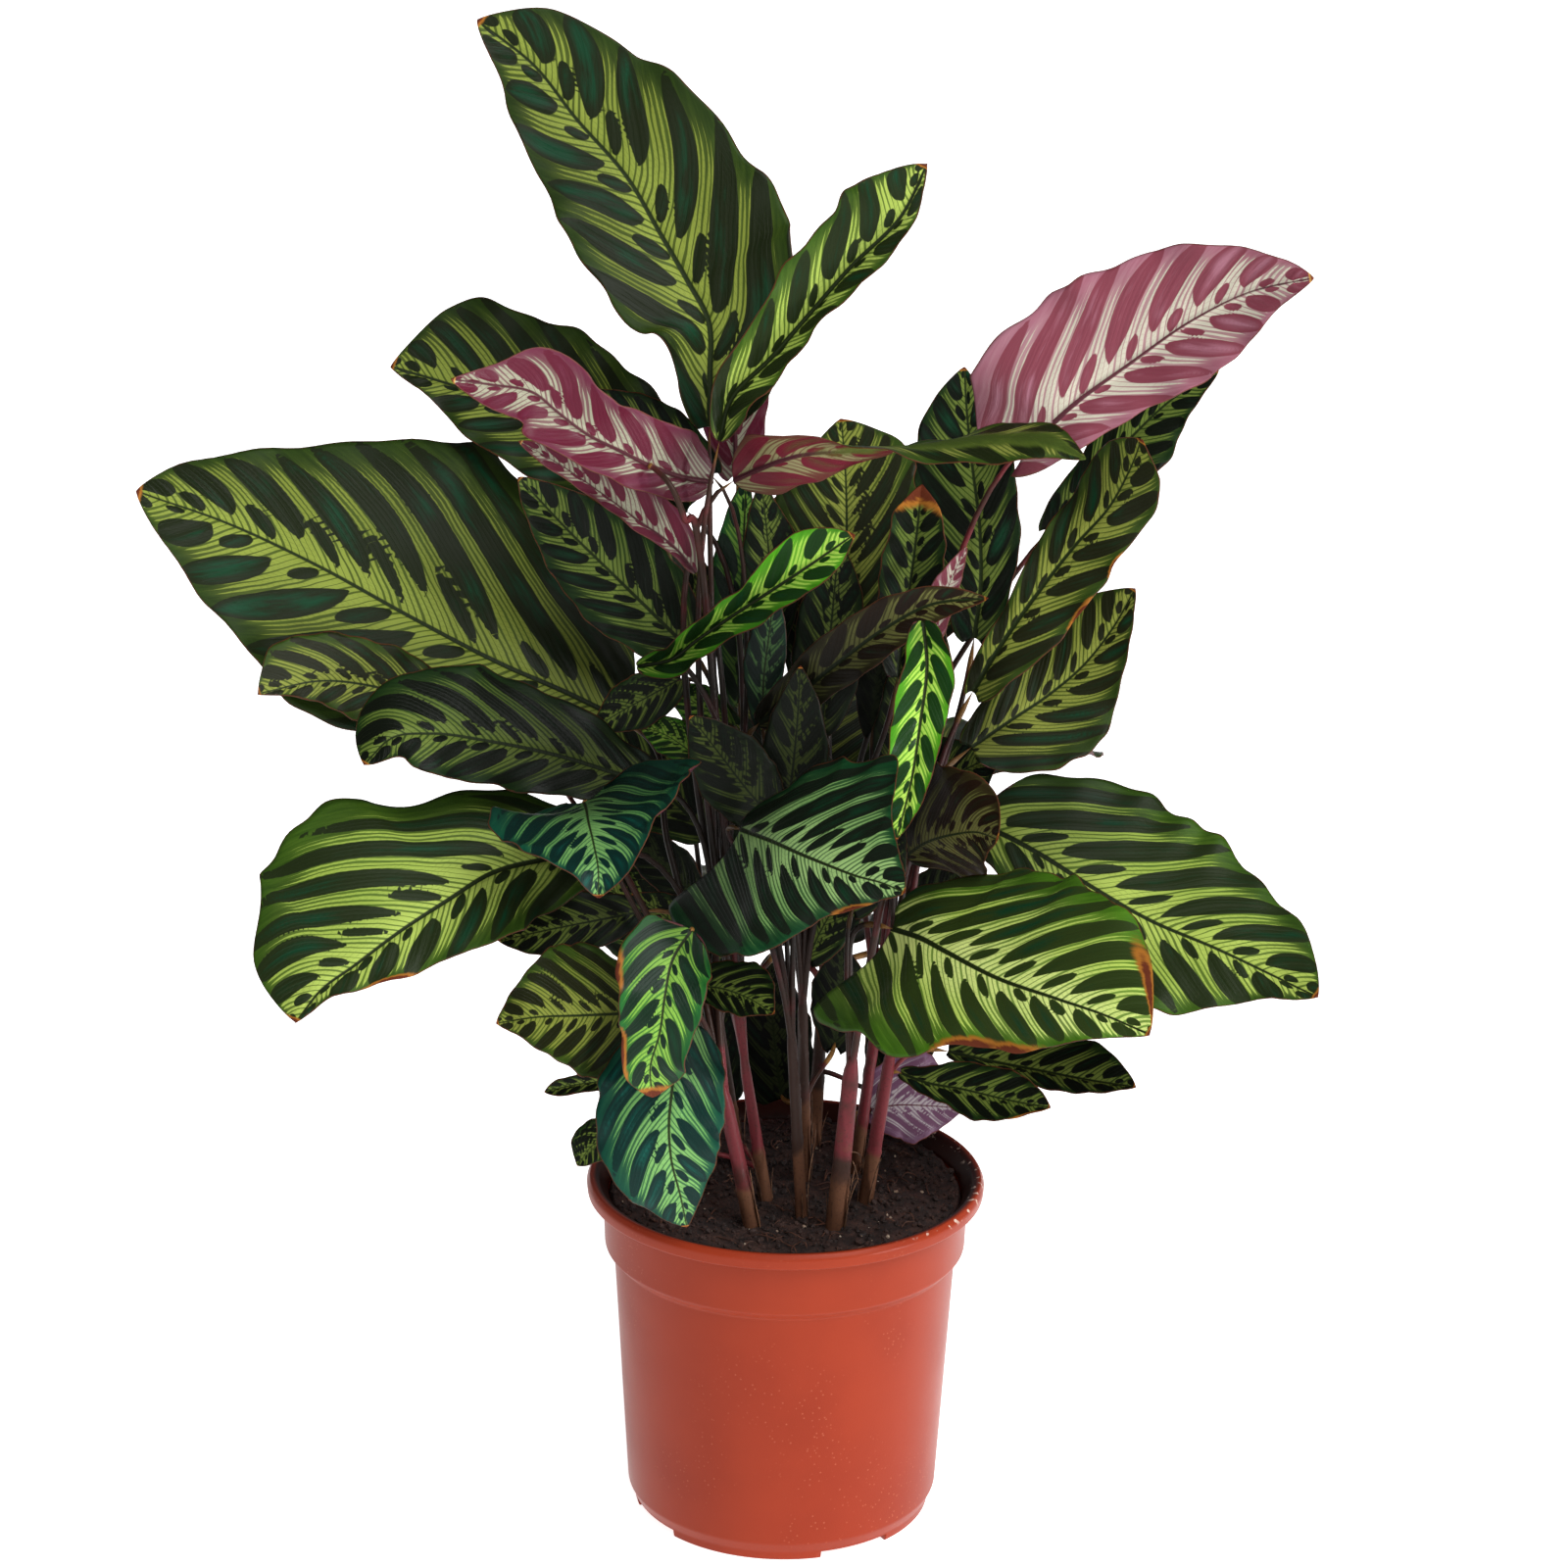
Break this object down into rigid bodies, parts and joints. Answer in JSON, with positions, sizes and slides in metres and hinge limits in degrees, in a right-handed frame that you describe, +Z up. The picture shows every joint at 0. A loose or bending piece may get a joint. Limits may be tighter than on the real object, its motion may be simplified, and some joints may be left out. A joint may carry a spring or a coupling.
{
  "type": "potted calathea",
  "caption": "Leafy potted houseplant with a bushy crown of broad, dark-blotched green blades with purple undersides, on slim stems in a tapered round nursery pot of soil.",
  "frame": {"origin": "centre of the pot's underside, on the surface that it stands on", "axes": "+Z up along the pot's axis, the pictured side faces -Y, +X to the viewer's right"},
  "size_m": [0.4792, 0.3646, 0.6342],
  "materials": {
    "terracotta": "satin moulded plastic in terracotta red",
    "soil": "moist dark potting soil with fibres and pale specks",
    "stalk": "brown-purple leaf stalks and sheaths, satin",
    "leaf_green": "yellow-green blade with dark blotches and fine lines, satin",
    "leaf_purple": "mauve blade underside with cream stripes, satin"
  },
  "bodies": {
    "root": {"pot": "terracotta", "soil": "soil", "stem_a": "stalk", "stem_b": "stalk", "stem_c": "stalk", "stem_d": "stalk", "stem_e": "stalk", "stem_f": "stalk", "stem_g": "stalk", "stem_h": "stalk", "stem_i": "stalk", "leaf_back_centre": "leaf_green", "leaf_back_centre_low": "leaf_green", "leaf_back_high": "leaf_green", "leaf_back_left_high": "leaf_green", "leaf_back_left_mid": "leaf_green", "leaf_back_low_left": "leaf_green", "leaf_back_low_right": "leaf_green", "leaf_back_right_high": "leaf_green", "leaf_back_right_mid": "leaf_green", "leaf_back_tall": "leaf_purple", "leaf_behind_pink_left": "leaf_green", "leaf_behind_pink_right": "leaf_green", "leaf_big_dark": "leaf_green", "leaf_bottom_right": "leaf_green", "leaf_bottom_right_low": "leaf_green", "leaf_bright_curl": "leaf_green", "leaf_brown_forward": "leaf_green", "leaf_brown_tip": "leaf_green", "leaf_centre_small": "leaf_green", "leaf_centre_top": "leaf_green", "leaf_diagonal_dark": "leaf_green", "leaf_front_centre": "leaf_green", "leaf_front_low": "leaf_green", "leaf_front_right": "leaf_green", "leaf_front_vertical": "leaf_green", "leaf_hanging_bright": "leaf_green", "leaf_horizontal": "leaf_purple", "leaf_inner_back_left": "leaf_green", "leaf_inner_back_right": "leaf_green", "leaf_inner_centre": "leaf_green", "leaf_large_right": "leaf_green", "leaf_left_behind": "leaf_green", "leaf_left_curled": "leaf_green", "leaf_left_dark": "leaf_green", "leaf_left_front": "leaf_green", "leaf_left_large": "leaf_green", "leaf_left_small": "leaf_green", "leaf_low_left": "leaf_green", "leaf_low_purple": "leaf_purple", "leaf_pink_large": "leaf_purple", "leaf_purple_front": "leaf_purple", "leaf_purple_narrow": "leaf_purple", "leaf_right_lower": "leaf_green", "leaf_right_twisted": "leaf_green", "leaf_top_large": "leaf_green", "leaf_top_narrow": "leaf_green", "leaf_upper_green": "leaf_green", "leaf_upper_left": "leaf_green"}
  },
  "joints": []
}
